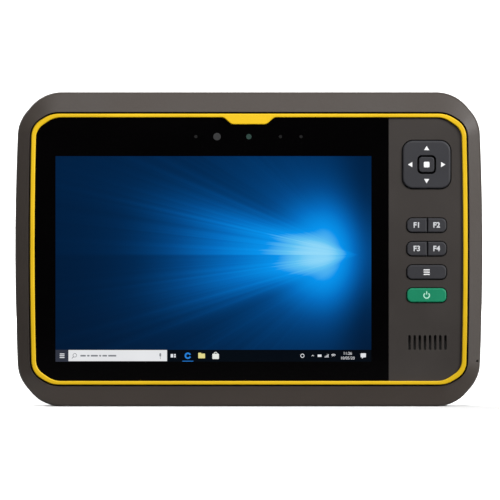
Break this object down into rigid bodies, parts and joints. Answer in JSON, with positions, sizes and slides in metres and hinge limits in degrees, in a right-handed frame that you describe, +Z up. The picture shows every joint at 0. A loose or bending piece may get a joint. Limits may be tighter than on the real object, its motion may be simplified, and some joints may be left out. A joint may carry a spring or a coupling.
{
  "type": "data collector",
  "caption": "Rugged handheld data collector: landscape display, keypad fascia with rocker and keys, impact housing, two rear battery packs and hinged port doors.",
  "frame": {"origin": "centre of the footprint, at the bottom of the long lower edge that it stands on", "axes": "+X to the right of the display, +Y from the display to the back, +Z up the display"},
  "size_m": [0.2204, 0.036, 0.1483],
  "materials": {
    "housing_grey": "moulded impact plastic, fine spark texture",
    "trim_yellow": "satin moulded plastic",
    "glass_black": "polished, black printed border",
    "fascia_grey": "fine texture",
    "key_rubber": "matt silicone with a soft coating",
    "power_green": "matt silicone, green",
    "seal_rubber": "soft black gasket",
    "pad_rubber": "soft black rubber",
    "display": "lit display panel",
    "diffuser": "white diffuser",
    "steel": "pressed steel",
    "black_plastic": "fine texture",
    "battery_case": "textured moulded case",
    "mesh_black": "woven acoustic mesh",
    "board_green": "coated circuit board",
    "magnesium": "cast, matt",
    "ceramic": "ceramic and film",
    "flex_orange": "polyimide film",
    "brass": "machined",
    "clear_window": "dark coated window",
    "lamp_white": "clear lamp"
  },
  "bodies": {
    "root": {"accessory_cover": "housing_grey", "antennas": "ceramic", "backlight": "diffuser", "battery_contacts": "black_plastic", "camera_window": "clear_window", "card_socket": "steel", "case_screws": "steel", "cover_glass": "glass_black", "cover_screws": "steel", "display_cable": "flex_orange", "docking_block": "black_plastic", "docking_contacts": "brass", "door_pins": "steel", "dpad_base": "black_plastic", "fascia": "fascia_grey", "flash_lamp": "lamp_white", "front_bumper": "housing_grey", "front_camera": "black_plastic", "glass_seal": "seal_rubber", "headset_socket": "black_plastic", "housing_seal": "seal_rubber", "indicator_leds": "lamp_white", "key_domes": "steel", "key_mat": "seal_rubber", "keypad_board": "board_green", "lcd_frame": "steel", "lcd_panel": "display", "light_sensor": "black_plastic", "main_board": "board_green", "microphone": "black_plastic", "mid_frame": "magnesium", "mount_inserts": "brass", "power_inlet": "black_plastic", "radio_module": "board_green", "rear_camera": "black_plastic", "rear_housing": "housing_grey", "rear_pads": "pad_rubber", "shield_cans": "steel", "speaker": "black_plastic", "speaker_mesh": "mesh_black", "strap_bars": "steel", "strap_lugs": "magnesium", "trim_ring": "trim_yellow", "usb_socket": "steel"},
    "dpad_pivot": {"dpad_pivot": "black_plastic"},
    "dpad": {"dpad": "key_rubber"},
    "select_key": {"select_key": "key_rubber"},
    "f1_key": {"f1_key": "key_rubber"},
    "f2_key": {"f2_key": "key_rubber"},
    "f3_key": {"f3_key": "key_rubber"},
    "f4_key": {"f4_key": "key_rubber"},
    "menu_key": {"menu_key": "key_rubber"},
    "power_key": {"power_key": "power_green"},
    "door_left": {"door_left": "pad_rubber"},
    "door_right": {"door_right": "pad_rubber"},
    "battery_left": {"battery_left": "battery_case"},
    "battery_right": {"battery_right": "battery_case"},
    "latch_left": {"latch_left": "black_plastic"},
    "latch_right": {"latch_right": "black_plastic"},
    "stylus": {"stylus": "black_plastic"}
  },
  "joints": [
    {"name": "dpad_up_down", "type": "hinge", "parent": "root", "child": "dpad_pivot", "pos_m": [0.0838, -0.0134, 0.11405], "axis": [1, 0, 0], "range_deg": [-3, 3], "stiffness_Nm_per_rad": 0.06},
    {"name": "dpad_left_right", "type": "hinge", "parent": "dpad_pivot", "child": "dpad", "pos_m": [0.0838, -0.0134, 0.11405], "axis": [0, 0, 1], "range_deg": [-3, 3], "stiffness_Nm_per_rad": 0.06},
    {"name": "select_key_press", "type": "slide", "parent": "root", "child": "select_key", "axis": [0, 1, 0], "range_m": [0, 0.0006], "stiffness_N_per_m": 2500},
    {"name": "f1_key_press", "type": "slide", "parent": "root", "child": "f1_key", "axis": [0, 1, 0], "range_m": [0, 0.0006], "stiffness_N_per_m": 2500},
    {"name": "f2_key_press", "type": "slide", "parent": "root", "child": "f2_key", "axis": [0, 1, 0], "range_m": [0, 0.0006], "stiffness_N_per_m": 2500},
    {"name": "f3_key_press", "type": "slide", "parent": "root", "child": "f3_key", "axis": [0, 1, 0], "range_m": [0, 0.0006], "stiffness_N_per_m": 2500},
    {"name": "f4_key_press", "type": "slide", "parent": "root", "child": "f4_key", "axis": [0, 1, 0], "range_m": [0, 0.0006], "stiffness_N_per_m": 2500},
    {"name": "menu_key_press", "type": "slide", "parent": "root", "child": "menu_key", "axis": [0, 1, 0], "range_m": [0, 0.0006], "stiffness_N_per_m": 2500},
    {"name": "power_key_press", "type": "slide", "parent": "root", "child": "power_key", "axis": [0, 1, 0], "range_m": [0, 0.0006], "stiffness_N_per_m": 2500},
    {"name": "door_left_swing", "type": "hinge", "parent": "root", "child": "door_left", "pos_m": [-0.10845, 0.0052, 0.07415], "axis": [0, 0, -1], "range_deg": [0, 90]},
    {"name": "door_right_swing", "type": "hinge", "parent": "root", "child": "door_right", "pos_m": [0.10845, 0.0052, 0.07415], "axis": [0, 0, 1], "range_deg": [0, 90]},
    {"name": "battery_left_pull", "type": "slide", "parent": "root", "child": "battery_left", "axis": [0, 1, 0], "range_m": [0, 0.016]},
    {"name": "battery_right_pull", "type": "slide", "parent": "root", "child": "battery_right", "axis": [0, 1, 0], "range_m": [0, 0.016]},
    {"name": "latch_left_slide", "type": "slide", "parent": "root", "child": "latch_left", "axis": [-1, 0, 0], "range_m": [0, 0.005]},
    {"name": "latch_right_slide", "type": "slide", "parent": "root", "child": "latch_right", "axis": [1, 0, 0], "range_m": [0, 0.005]},
    {"name": "stylus_draw", "type": "slide", "parent": "root", "child": "stylus", "axis": [0, 0, 1], "range_m": [0, 0.11]}
  ]
}
